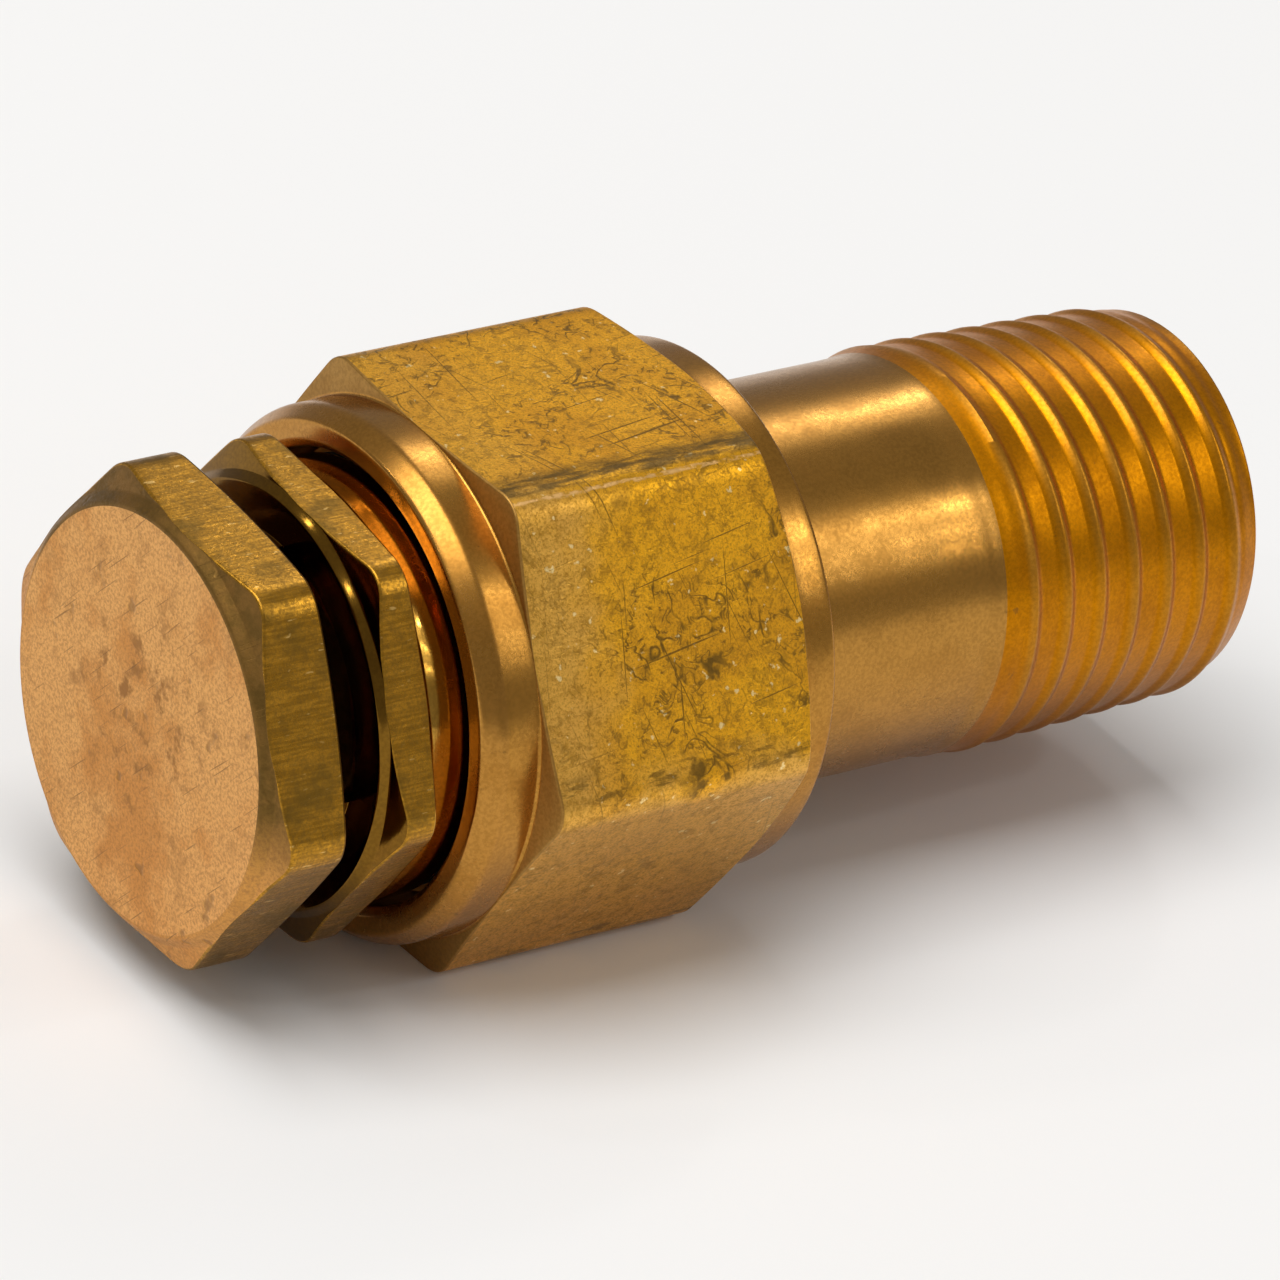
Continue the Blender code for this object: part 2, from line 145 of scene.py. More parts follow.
# Soft lights, LIGHT_DISTANCE metres from the origin: azimuth and elevation in degrees, then
# for a box its width and height in metres and its radiance.
LIGHT_DISTANCE = 1.2
BOXES = {
    "box_overhead": (-100, 74, 0.92, 0.92, 4.3),
    "box_behind_right": (131, 45, 0.30, 0.40, 1.7),
    "box_front_right": (45, 38, 0.45, 0.42, 1.25),
}
LAMPS = [(49, 43), (132, 42), (-88, 39), (-129, 40)]
LAMP_SIZE = 0.075
LAMP_RADIANCE = 26
STRIPS = [(41, 33), (38, 25)]
STRIP_WIDTH = 0.20
STRIP_HEIGHT = 0.018
STRIP_RADIANCE = 14
SKY_COLOUR = (1.0, 0.97, 0.92, 1.0)
SKY_STRENGTH = 0.30
FLOOR_HALF = 3.0

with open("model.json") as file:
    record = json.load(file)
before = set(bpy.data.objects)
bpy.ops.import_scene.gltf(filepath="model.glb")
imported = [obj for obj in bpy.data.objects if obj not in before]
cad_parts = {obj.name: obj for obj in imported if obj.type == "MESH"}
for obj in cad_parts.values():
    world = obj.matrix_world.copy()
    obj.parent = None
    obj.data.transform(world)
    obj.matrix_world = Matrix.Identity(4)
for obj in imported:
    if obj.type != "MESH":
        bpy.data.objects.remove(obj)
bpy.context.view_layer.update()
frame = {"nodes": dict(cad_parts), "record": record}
HEX_CENTRE_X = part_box("valve_body")[1].x - BODY_END * MM
AXIS_Z = BODY_FLATS / 2 * MM


# ---------------------------------------------------------------- turned and hexagonal meshes


def sector_angles(turned, flat_steps, corner_steps, corner_span):
    """Angles in radians round the axis, closer together over the six rounded corners."""
    edge = 30 - corner_span / 2
    flat = np.linspace(-edge, edge, flat_steps, endpoint=False)
    corner = np.linspace(edge, 60 - edge, corner_steps, endpoint=False)
    sector = np.concatenate([flat, corner])
    return np.radians(np.concatenate([sector + 60 * k + 30 for k in range(6)]) + turned)


def hex_radius(angles, flats, corner_r, turned):
    """Distance from the axis to a hexagon with rounded corners, the first at turned degrees."""
    half = flats / 2
    from_flat = np.radians(np.abs((np.degrees(angles) - turned) % 60 - 30))
    from_corner = math.radians(30) - from_flat
    reach = (half - corner_r) / math.cos(math.radians(30))
    on_flat = np.tan(from_flat) * half <= reach * math.sin(math.radians(30))
    rise = np.sqrt(np.maximum(corner_r**2 - (reach * np.sin(from_corner)) ** 2, 0.0))
    return np.where(on_flat, half / np.cos(from_flat), reach * np.cos(from_corner) + rise)


def curve_point(start, middle, end, t):
    """Point at t, from 0 to 1, of the curve from start to end that bends towards the middle."""
    return (1 - t) ** 2 * start + 2 * t * (1 - t) * middle + t * t * end


def rounded_path(corners, angles):
    """Grid of (station, radius) from a list of corners, each with its own edge rounding.

    A corner is (station, radius, rounding, zone, steps). Station and radius may be arrays, one
    value an angle. The zone belongs to the stretch from this corner to the next, which is split
    into that many steps.
    """
    blank = np.zeros(len(angles))
    points = [np.stack([blank + station, blank + radius], 1) for station, radius, *_ in corners]
    rows, zones = [], []
    for i, (_, _, rounding, zone, steps) in enumerate(corners):
        following = (i + 1) % len(corners)
        here = points[i]
        before = points[i - 1] - here
        after = points[following] - here
        before_length = np.linalg.norm(before, axis=1, keepdims=True)
        after_length = np.linalg.norm(after, axis=1, keepdims=True)
        added = [here]
        if rounding > 0:
            shorter = np.minimum(before_length, after_length)
            reach = np.minimum(rounding, MOST_ROUNDED * shorter)
            start = here + before / before_length * reach
            end = here + after / after_length * reach
            added = [curve_point(start, here, end, t) for t in (0.0, 0.25, 0.5, 0.75, 1.0)]
        last = added[-1]
        back_off = np.minimum(corners[following][2], MOST_ROUNDED * after_length)
        final = points[following] - after / after_length * back_off
        added += [last + (final - last) * k / steps for k in range(1, steps)]
        rows += added
        zones += [zone] * len(added)
    return np.stack(rows), zones


def shade(mesh):
    mesh.shade_smooth()
    mesh.set_sharp_from_angle(angle=SHARP)


def finish_mesh(mesh):
    """Joins the points that meet on the axis and turns all the faces outwards."""
    bm = bmesh.new()
    bm.from_mesh(mesh)
    bmesh.ops.remove_doubles(bm, verts=bm.verts, dist=MERGE_DISTANCE)
    bmesh.ops.recalc_face_normals(bm, faces=bm.faces)
    bm.to_mesh(mesh)
    bm.free()
    shade(mesh)


def loop_mesh(name, grid, angles, zones, finishes, through):
    """Closed mesh from the grid: rows run round the section, columns round the axis.

    A part with a hole right through it joins its last row to its first. On any other part both
    of those rows are points on the axis. finishes gives the material of each zone.
    """
    rows, columns = grid.shape[:2]
    bands = rows if through else rows - 1
    stations, radii = grid[..., 0], grid[..., 1]
    verts = np.stack(
        [
            HEX_CENTRE_X + stations * MM,
            -radii * np.cos(angles) * MM,
            AXIS_Z + radii * np.sin(angles) * MM,
        ],
        axis=2,
    ).reshape(-1, 3)
    faces = []
    for row in range(bands):
        here = row * columns
        below = ((row + 1) % rows) * columns
        for column in range(columns):
            beside = (column + 1) % columns
            faces.append((here + column, here + beside, below + beside, below + column))
    mesh = bpy.data.meshes.new(name)
    mesh.from_pydata(verts.tolist(), [], faces)
    for material in finishes.values():
        mesh.materials.append(material)
    order = list(finishes)
    slots = [order.index(zone) for zone in zones[:bands]]
    mesh.polygons.foreach_set("material_index", np.repeat(slots, columns).astype(np.int32))
    finish_mesh(mesh)
    return mesh


def add_piece(name, mesh, body, node):
    """A piece that rides on a body and stands for a CAD node."""
    piece = bpy.data.objects.new(name, mesh)
    bpy.context.scene.collection.objects.link(piece)
    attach(piece, body)
    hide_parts(node)
    return piece


# ------------------------------------------------------------------------------- materials


class Nodes:
    """Short names for making a material's node tree."""

    def __init__(self, name):
        self.material = bpy.data.materials.new(name)
        self.material.use_nodes = True
        self.tree = self.material.node_tree
        self.shader = self.tree.nodes["Principled BSDF"]
        self.place = self.add("ShaderNodeTexCoord").outputs["Object"]
        split = self.add("ShaderNodeSeparateXYZ")
        self.link(self.place, split.inputs[0])
        self.station, self.across = split.outputs["X"], split.outputs["Y"]
        self.height = self.maths("SUBTRACT", split.outputs["Z"], AXIS_Z)

    def add(self, kind, **settings):
        node = self.tree.nodes.new(kind)
        for key, value in settings.items():
            setattr(node, key, value)
        return node

    def link(self, source, target):
        self.tree.links.new(source, target)

    def feed(self, socket, value):
        if isinstance(value, bpy.types.NodeSocket):
            self.link(value, socket)
        else:
            socket.default_value = value

    def maths(self, operation, *values):
        node = self.add("ShaderNodeMath", operation=operation)
        for socket, value in zip(node.inputs, values):
            self.feed(socket, value)
        return node.outputs[0]

    def joined(self, first, second):
        """A plane vector of two numbers."""
        node = self.add("ShaderNodeCombineXYZ")
        self.link(first, node.inputs["X"])
        self.link(second, node.inputs["Y"])
        return node.outputs[0]

    def scaled(self, size, source=None):
        """The place, or another vector in metres, times three numbers of cycles a millimetre."""
        node = self.add("ShaderNodeVectorMath", operation="MULTIPLY")
        self.link(source or self.place, node.inputs[0])
        node.inputs[1].default_value = [value / MM for value in size]
        return node.outputs[0]

    def noise(self, size, source=None, detail=3.0, rough=0.5, distortion=0.0):
        """Noise with that many cycles a millimetre: one number, or one for each direction."""
        size = size if isinstance(size, tuple) else (size,) * 3
        node = self.add("ShaderNodeTexNoise")
        self.link(self.scaled(size, source), node.inputs["Vector"])
        node.inputs["Scale"].default_value = 1.0
        node.inputs["Detail"].default_value = detail
        node.inputs["Roughness"].default_value = rough
        node.inputs["Distortion"].default_value = distortion
        return node.outputs["Fac"]

    def ramp(self, value, low, high, out_low=0.0, out_high=1.0):
        """Smooth step from out_low, where the value is low, to out_high, where it is high."""
        node = self.add("ShaderNodeMapRange", interpolation_type="SMOOTHSTEP")
        for socket, number in zip(node.inputs, (value, low, high, out_low, out_high)):
            self.feed(socket, number)
        return node.outputs["Result"]

    def mix(self, factor, first, second):
        """Colour from first to second. Each is a socket or a tuple of red, green and blue."""
        node = self.add("ShaderNodeMix", data_type="RGBA")
        self.feed(node.inputs[0], factor)
        for socket, colour in zip(node.inputs[6:8], (first, second)):
            self.feed(socket, (*colour, 1.0) if isinstance(colour, tuple) else colour)
        return node.outputs[2]

    def bump(self, height, strength, distance, normal=None):
        """Bump of that many millimetres, on top of another bump where a normal is given."""
        node = self.add("ShaderNodeBump")
        node.inputs["Strength"].default_value = strength
        node.inputs["Distance"].default_value = distance * MM
        self.link(height, node.inputs["Height"])
        if normal:
            self.link(normal, node.inputs["Normal"])
        return node.outputs["Normal"]

    def radius(self):
        """Distance from the vent's axis."""
        squares = [self.maths("POWER", value, 2.0) for value in (self.across, self.height)]
        return self.maths("SQRT", self.maths("ADD", *squares))

    def degrees_round(self):
        """Angle round the axis: 0 at the front, 90 on top."""
        turn = self.maths("ARCTAN2", self.height, self.maths("MULTIPLY", self.across, -1.0))
        return self.maths("DEGREES", turn)

    def unrolled(self):
        """(station, length round the axis) of the point, as if its skin were laid flat."""
        metres_a_degree = math.radians(SKIN_R) * MM
        return self.joined(self.station, self.maths("MULTIPLY", self.degrees_round(), metres_a_degree))

    def strokes(self, plane, turned, length, width, low, high):
        """Straight scratches on a plane, turned from its first direction: 1 on a scratch."""
        node = self.add("ShaderNodeVectorRotate", rotation_type="Z_AXIS")
        self.link(plane, node.inputs["Vector"])
        node.inputs["Angle"].default_value = math.radians(turned)
        size = (1 / length, 1 / width, 0.0)
        return self.ramp(self.noise(size, node.outputs[0], detail=1.0), low, high)

    def cracks(self, size, width, low, high):
        """Short wandering lines, which run only where a second noise is over low: 1 on a line."""
        wander = self.noise(size, detail=3.0, distortion=1.0)
        away = self.maths("ABSOLUTE", self.maths("SUBTRACT", wander, 0.5))
        line = self.ramp(away, 0.0, width * size, 1.0, 0.0)
        broken = self.noise(size * 1.6, detail=2.0)
        return self.both(line, self.ramp(broken, low, high))

    def both(self, first, second):
        """The product of two factors: 1 only where both are 1."""
        return self.maths("MULTIPLY", first, second)

    def most(self, values):
        """The highest of the values."""
        highest = values[0]
        for value in values[1:]:
            highest = self.maths("MAXIMUM", highest, value)
        return highest

    def finish(self, colour, rough, normal, metallic=1.0):
        self.feed(self.shader.inputs["Base Color"], colour)
        self.feed(self.shader.inputs["Roughness"], rough)
        self.link(normal, self.shader.inputs["Normal"])
        self.shader.inputs["Metallic"].default_value = metallic
        return self.material


def turned_brass(name, colour, dark, rough, marks=0.2, crest=None):
    """Brass straight off a lathe: fine rings, a little tarnish, specks and uneven gloss.

    marks is the strength of the rings and the grain. With a crest colour the skin is a thread's,
    worn to that colour along its crests, and browner below the axis as painted shade.
    """
    n = Nodes(name)
    section = n.joined(n.station, n.radius())
    fine = n.noise((9.0, 9.0, 1.0), section, detail=2.0)
    coarse = n.noise((1.6, 1.6, 1.0), section, detail=2.0)
    patches = n.noise(0.35, detail=4.0, rough=0.6)
    grain = n.noise(8.0, detail=3.0, rough=0.6)
    specks = n.ramp(n.noise(2.2, detail=4.0, rough=0.7), 0.64, 0.74)
    painted_underside_shade, speck_brown = (0.28, 0.10, 0.003), (0.16, 0.08, 0.02)
    skin = n.mix(n.both(n.ramp(patches, 0.42, 0.72), 0.6), colour, dark)
    if crest:
        worn = n.both(thread_crest(n), n.ramp(patches, 0.35, 0.65, 0.35, 0.8))
        skin = n.mix(worn, skin, crest)
        # Painted shade: the thread turns darker and browner below the axis.
        skin = n.mix(n.ramp(n.height, -5.0 * MM, 4.0 * MM, 0.55, 0.0), skin, painted_underside_shade)
    skin = n.mix(n.ramp(grain, 0.35, 0.65, 0.0, 0.35), skin, tuple(v * 0.55 for v in dark))
    skin = n.mix(n.both(specks, 0.5), skin, speck_brown)
    gloss = n.ramp(patches, 0.3, 0.7, rough - 0.04, rough + 0.06)
    gloss = n.maths("ADD", gloss, n.ramp(grain, 0.3, 0.7, -0.015, 0.02))
    rings = n.bump(coarse, marks, 0.02, n.bump(fine, marks, 0.006))
    return n.finish(skin, gloss, n.bump(grain, marks, 0.008, rings))


def thread_crest(n):
    """1 along the crest of the pipe thread, 0 in its groove."""
    along = n.maths("DIVIDE", n.maths("SUBTRACT", n.station, HEX_CENTRE_X), PIPE_PITCH * MM)
    turn = n.maths("DIVIDE", n.degrees_round(), 360.0)
    phase = n.maths("FRACT", n.maths("ADD", n.maths("ADD", along, turn), PIPE_PHASE))
    return n.ramp(n.maths("ABSOLUTE", n.maths("SUBTRACT", phase, 0.5)), 0.04, 0.22, 1.0, 0.0)


def bar_brass(name):
    """The body's hexagon bar, as drawn: cracks in the skin, dirt and painted shade, scratches, a worn
    edge with a painted highlight.
    """
    n = Nodes(name)
    gold, ochre, clean = (0.96, 0.47, 0.022), (0.78, 0.37, 0.022), (0.78, 0.44, 0.10)
    # The darkest brown colours the marks and the painted shade above the corners.
    brown, dark_brown, dirt_and_shade = (0.42, 0.21, 0.02), (0.36, 0.17, 0.02), (0.13, 0.075, 0.018)
    glint, bare_highlight = (1.0, 0.78, 0.36), (1.0, 0.60, 0.22)
    patches = n.noise(0.30, detail=4.0, rough=0.6)
    mottle = n.noise(2.4, detail=4.0, rough=0.7)
    grain = n.noise(11.0, detail=3.0, rough=0.75)
    skin = n.mix(n.ramp(patches, 0.42, 0.62), gold, ochre)
    skin = n.mix(cleaner_area(n), skin, clean)
    skin = n.mix(n.ramp(mottle, 0.46, 0.68, 0.0, 0.6), skin, brown)
    skin = n.mix(n.ramp(grain, 0.42, 0.68, 0.0, 0.65), skin, dark_brown)
    glints = n.ramp(n.noise(2.8, detail=3.0), 0.67, 0.72)
    skin = n.mix(n.both(glints, 0.8), skin, glint)
    marks = bar_marks(n)
    # Dark marks, and painted shade just above the corners.
    skin = n.mix(n.most([marks, corner_dirt_and_shade(n)]), skin, dirt_and_shade)
    # Worn bare metal with a painted highlight along the upper front corner.
    skin = n.mix(worn_edge_highlight(n), skin, bare_highlight)
    gloss = n.ramp(patches, 0.3, 0.7, 0.36, 0.48)
    gloss = n.maths("ADD", gloss, n.ramp(grain, 0.3, 0.7, -0.06, 0.08))
    pressed = n.bump(n.maths("SUBTRACT", 1.0, marks), 0.6, 0.02, n.bump(mottle, 0.35, 0.03))
    return n.finish(skin, gloss, n.bump(grain, 0.5, 0.015, pressed))


def cleaner_area(n):
    """Paler, cleaner skin: at the front end of the bar, and on the flats below its middle."""
    patches = n.noise(0.5, detail=3.0)
    station = n.maths("ADD", n.station, n.ramp(patches, 0.3, 0.7, -0.8 * MM, 0.8 * MM))
    front = n.ramp(station, HEX_CENTRE_X - 3.8 * MM, HEX_CENTRE_X - 0.8 * MM, 0.75, 0.0)
    turn = n.maths("ADD", n.degrees_round(), n.ramp(patches, 0.3, 0.7, -4.0, 4.0))
    below = n.both(n.ramp(turn, -3.0, 6.0, 0.8, 0.0), n.ramp(turn, -80.0, -55.0))
    upper = n.ramp(n.maths("ABSOLUTE", turn), 56.0, 64.0, 1.0, 0.3)
    return n.most([n.both(front, upper), below])


def bar_marks(n):
    """Cracks, specks, blotches and long scratches on the bar: 0 on clean skin, up to 1."""
    plane = n.unrolled()
    clusters = n.ramp(n.noise(0.28, detail=2.0), 0.40, 0.56, 0.35, 1.0)
    parts = [
        n.both(n.cracks(0.6, 0.050, 0.44, 0.56), 0.85),
        n.both(n.cracks(1.5, 0.030, 0.46, 0.58), 0.7),
        n.both(n.ramp(n.noise(1.5, detail=5.0, rough=0.75), 0.62, 0.70), 0.85),
        n.both(n.ramp(n.noise(0.45, detail=4.0, rough=0.6), 0.63, 0.68), 0.85),
    ]
    soiled = n.ramp(cleaner_area(n), 0.0, 0.8, 1.0, 0.35)
    marks = n.both(n.most(parts), n.both(clusters, soiled))
    long_scratches = [
        n.strokes(plane, 68, 9.0, 0.14, 0.68, 0.73),
        n.strokes(plane, 96, 8.0, 0.13, 0.69, 0.74),
        n.strokes(plane, -8, 7.0, 0.14, 0.70, 0.75),
    ]
    return n.most([marks, n.both(n.most(long_scratches), n.both(soiled, 0.75))])


def corner_dirt_and_shade(n):
    """Smudges with painted shade just above the corners, thickest above the upper front one."""
    corner = n.maths("WRAP", n.degrees_round(), 30.0, -30.0)
    from_top = n.maths("ABSOLUTE", n.maths("SUBTRACT", n.degrees_round(), UPPER_CORNER))
    band = n.both(n.ramp(corner, 0.8, 2.0), n.ramp(corner, 5.0, 8.5, 1.0, 0.0))
    near = n.ramp(from_top, 12.0, 20.0, 0.95, 0.6)
    streaky = n.noise((0.7, 3.0, 3.0), detail=4.0, rough=0.65)
    broken = n.ramp(streaky, n.ramp(from_top, 12.0, 20.0, 0.24, 0.52), 0.62)
    return n.both(n.both(band, near), broken)


def worn_edge_highlight(n):
    """The bright broken line along the upper front corner: worn bare metal with a painted highlight.
    """
    off = n.maths("ABSOLUTE", n.maths("SUBTRACT", n.degrees_round(), UPPER_CORNER + 0.2))
    wander = n.noise((1.2, 3.0, 3.0), detail=4.0, rough=0.7)
    line = n.ramp(off, 0.10, n.ramp(wander, 0.3, 0.7, 0.3, 1.0), 1.0, 0.0)
    return n.both(line, n.ramp(n.noise((2.5, 6.0, 6.0), detail=3.0), 0.40, 0.56, 0.1, 1.0))


def brushed_brass(name):
    """The head's flats: faint streaks along the axis from the drawing die, stained and grainy."""
    n = Nodes(name)
    streaks = n.noise((0.7, 11.0, 11.0), detail=3.0)
    patches = n.noise(0.45, detail=4.0, rough=0.6)
    mottle = n.noise(2.6, detail=4.0, rough=0.7)
    grain = n.noise(9.0, detail=3.0, rough=0.7)
    glints = n.ramp(n.noise((1.6, 5.0, 5.0), detail=3.0), 0.66, 0.72)
    gold, olive, stain = (0.66, 0.32, 0.03), (0.44, 0.21, 0.018), (0.14, 0.085, 0.016)
    brown, dark_brown, glint = (0.26, 0.135, 0.02), (0.20, 0.11, 0.02), (0.95, 0.62, 0.20)
    skin = n.mix(n.ramp(streaks, 0.38, 0.64), olive, gold)
    skin = n.mix(n.ramp(mottle, 0.42, 0.68, 0.0, 0.5), skin, brown)
    skin = n.mix(n.both(n.ramp(patches, 0.50, 0.68), 0.65), skin, stain)
    skin = n.mix(n.ramp(grain, 0.38, 0.66, 0.0, 0.6), skin, dark_brown)
    skin = n.mix(n.both(glints, 0.6), skin, glint)
    gloss = n.ramp(patches, 0.4, 0.7, 0.30, 0.40)
    gloss = n.maths("ADD", gloss, n.ramp(grain, 0.3, 0.7, -0.06, 0.08))
    lines = n.bump(streaks, 0.15, 0.012, n.bump(mottle, 0.35, 0.03))
    return n.finish(skin, gloss, n.bump(grain, 0.4, 0.012, lines))


def face_brass(name, tan, shaded=None):
    """The cap's face and edge: matte and grainy, stained, with dents and faint scratches.

    With a shaded colour, the skin takes that colour over the upper half of the edge.
    """
    n = Nodes(name)
    plane = n.joined(n.across, n.height)
    patches = n.noise(0.28, detail=5.0, rough=0.6)
    spots = n.noise(0.8, detail=4.0, rough=0.7)
    grain = n.noise(9.0, detail=3.0, rough=0.7)
    scratches = n.strokes(plane, 48, 3.0, 0.10, 0.67, 0.74)
    dents = n.ramp(n.noise(1.1, detail=2.0), 0.66, 0.74)
    middle = n.ramp(n.radius(), 1.5 * MM, 5.5 * MM, 1.0, 0.3)
    copper, spot_brown = (0.62, 0.26, 0.05), (0.38, 0.17, 0.04)
    dent_brown, grain_brown = (0.26, 0.13, 0.04), (0.42, 0.21, 0.08)
    skin = n.mix(n.both(n.ramp(patches, 0.46, 0.66), 0.75), tan, copper)
    skin = n.mix(n.both(n.ramp(spots, 0.52, 0.66), middle), skin, spot_brown)
    skin = n.mix(n.both(n.most([scratches, dents]), 0.6), skin, dent_brown)
    skin = n.mix(n.ramp(grain, 0.38, 0.68, 0.0, 0.55), skin, grain_brown)
    if shaded:
        turn = n.degrees_round()
        upper = n.both(n.ramp(turn, -18.0, 8.0), n.ramp(turn, 150.0, 172.0, 1.0, 0.0))
        skin = n.mix(n.both(upper, n.ramp(spots, 0.35, 0.65, 1.0, 0.8)), skin, shaded)
    gloss = n.ramp(grain, 0.3, 0.7, 0.44, 0.62)
    sunk = n.maths("SUBTRACT", 1.0, n.most([n.both(scratches, 0.5), dents]))
    pressed = n.bump(sunk, 0.7, 0.03, n.bump(spots, 0.4, 0.05))
    return n.finish(skin, gloss, n.bump(grain, 0.5, 0.015, pressed))


def painted_shade_bore(name):
    """Unlit brass inside the head, painted brown to near black as its shade."""
    n = Nodes(name)
    grain = n.noise(3.0, detail=4.0, rough=0.6)
    # Painted shade: the inside is coloured brown to near black.
    brown, black_brown = (0.10, 0.045, 0.012), (0.05, 0.022, 0.008)
    skin = n.mix(n.ramp(grain, 0.35, 0.65), brown, black_brown)
    return n.finish(skin, n.ramp(grain, 0.3, 0.7, 0.5, 0.65), n.bump(grain, 0.4, 0.02))


def plain_finish(name, colour, rough, metallic, grain_size, depth):
    """Small inner pieces: even colour with a grain and slightly uneven gloss."""
    n = Nodes(name)
    grain = n.noise(grain_size, detail=4.0, rough=0.6)
    skin = n.mix(n.ramp(grain, 0.35, 0.65), colour, tuple(value * 0.72 for value in colour))
    gloss = n.ramp(grain, 0.3, 0.7, rough - 0.05, rough + 0.06)
    return n.finish(skin, gloss, n.bump(grain, 0.4, depth), metallic)


# ------------------------------------------------------------------------------ valve body


def pipe_crest(station):
    """Radius of the tapered thread's crest."""
    return PIPE_END_R + (BODY_END - PIPE_BEVEL - station) * PIPE_TAPER


def add_pipe_thread(grid, angles):
    """Sinks the helical thread, which runs out towards the neck, into the tapered outer skin."""
    stations, radii = grid[..., 0], grid[..., 1]
    start, end = PIPE_RUN_OUT
    outside = (stations > start) & (radii > HEAD_BORE_R)
    turn = angles / (2 * math.pi)
    phase = (stations / PIPE_PITCH + turn + PIPE_PHASE) % 1.0
    groove = np.clip(np.abs(phase - 0.5) / PIPE_FLANK, 0, 1)
    groove = groove * groove * (3 - 2 * groove)
    run_out = np.clip((stations - start) / (end - start), 0, 1)
    depth = PIPE_DEPTH * groove * run_out
    radii[outside] -= depth[outside]


def body_outside(hexagon):
    """Corners of the outer skin, from the inlet to the counterbore's rim."""
    outwards = (hexagon - HEX_MIDDLE_R) / (HEX_CORNER_R - HEX_MIDDLE_R)
    return [
        (BODY_END, BORE_R + 0.4, 0.05, "turned", 4),
        (BODY_END, PIPE_END_R - 0.26, 0.10, "thread", 2),
        (BODY_END - PIPE_BEVEL, PIPE_END_R, 0.15, "thread", 190),
        (PIPE_START, pipe_crest(PIPE_START), 0.5, "thread", 12),
        (NECK_END, NECK_R, 0.6, "neck", 20),
        (COLLAR_END + 0.60, NECK_R, 0.25, "neck", 2),
        (COLLAR_END + 0.30, NECK_R - 0.13, 0.12, "turned", 2),
        (COLLAR_END + 0.03, NECK_R - 0.01, 0.12, "turned", 4),
        (COLLAR_END, COLLAR_R, 0.16, "turned", 4),
        (HEX_BACK, COLLAR_R, 0.06, "facet", 2),
        (HEX_BACK - outwards * BACK_CHAMFER, hexagon, 0.07, "flats", 12),
        (HEX_FRONT + outwards * FRONT_CHAMFER, hexagon, 0.07, "facet", 2),
        (HEX_FRONT, COLLAR_R, 0.10, "turned", 6),
        (BODY_FRONT + 0.60, COLLAR_R, 0.18, "rim", 4),
        (BODY_FRONT, COLLAR_R - 0.42, 0.12, "rim", 4),
        (BODY_FRONT, COUNTERBORE_R + 0.30, 0.06, "rim", 3),
    ]


def body_inside():
    """Corners of the counterbore and the bores behind it, from the rim back to the inlet."""
    return [
        (BODY_FRONT + 0.28, COUNTERBORE_R, 0.06, "inside", 6),
        (COUNTERBORE_FLOOR, COUNTERBORE_R, 0.08, "inside", 4),
        (COUNTERBORE_FLOOR, HEAD_BORE_R, 0.08, "inside", 6),
        (HEAD_BORE_FLOOR, HEAD_BORE_R, 0.0, "inside", 2),
        (HEAD_BORE_FLOOR, BORE_R, 0.0, "inside", 2),
        (PORT_START, BORE_R, 0.0, "inside", 2),
        (PORT_START, PORT_R, 0.0, "inside", 2),
        (SEAT, PORT_R, 0.0, "inside", 2),
        (SEAT, BORE_R, 0.0, "inside", 8),
        (RING_GROOVE[0], BORE_R, 0.0, "inside", 2),
        (RING_GROOVE[0], RING_GROOVE_R, 0.0, "inside", 2),
        (RING_GROOVE[1], RING_GROOVE_R, 0.0, "inside", 2),
        (RING_GROOVE[1], BORE_R, 0.04, "inside", 8),
        (BODY_END - 0.4, BORE_R, 0.05, "inside", 2),
    ]


def body_finishes():
    """The material of each zone of the body."""
    gold, dark, crest = (0.68, 0.25, 0.003), (0.46, 0.155, 0.003), (0.56, 0.26, 0.03)
    return {
        "turned": turned_brass("collar_brass", (0.52, 0.25, 0.045), (0.40, 0.17, 0.025), 0.25, 0.08),
        "flats": bar_brass("bar_brass"),
        "thread": turned_brass("thread_brass", gold, dark, 0.36, 0.08, crest),
        "inside": turned_brass("bore_brass", (0.42, 0.19, 0.03), (0.30, 0.12, 0.015), 0.34, 0.1),
        "rim": turned_brass("rim_brass", (0.52, 0.25, 0.05), (0.42, 0.18, 0.025), 0.25, 0.1),
        "neck": turned_brass("neck_brass", (0.51, 0.25, 0.05), (0.40, 0.185, 0.032), 0.25, 0.03),
        "facet": turned_brass("facet_brass", (0.46, 0.25, 0.06), (0.38, 0.19, 0.04), 0.46, 0.1),
    }


def make_body():
    angles = sector_angles(turned=0, flat_steps=18, corner_steps=12, corner_span=9)
    hexagon = hex_radius(angles, BODY_FLATS, BODY_CORNER_R, 0)
    grid, zones = rounded_path(body_outside(hexagon) + body_inside(), angles)
    add_pipe_thread(grid, angles)
    mesh = loop_mesh("body_shell", grid, angles, zones, body_finishes(), through=True)
    add_piece("body_shell", mesh, "body", "valve_body")


# ------------------------------------------------------------------------------ vent head


def add_spigot_thread(grid, angles):
    """Sinks the helical thread into the spigot, from where it runs out to the bevelled tip."""
    stations, radii = grid[..., 0], grid[..., 1]
    spigot = (stations > HEAD_THREAD_START) & (radii > SPIGOT_R - HEAD_THREAD_DEPTH)
    turn = angles / (2 * math.pi)
    aside = np.abs((stations / HEAD_PITCH + turn) % 1.0 - 0.5) * HEAD_PITCH
    mouth = HEAD_PITCH - HEAD_THREAD_CREST
    groove = np.clip((mouth - 2 * aside) / (mouth - HEAD_THREAD_ROOT), 0, 1)
    run_out = np.clip((stations - HEAD_THREAD_START) / HEAD_THREAD_RUN_OUT, 0, 1)
    threaded = np.minimum(radii, SPIGOT_R - HEAD_THREAD_DEPTH * groove * run_out)
    radii[spigot] = threaded[spigot]


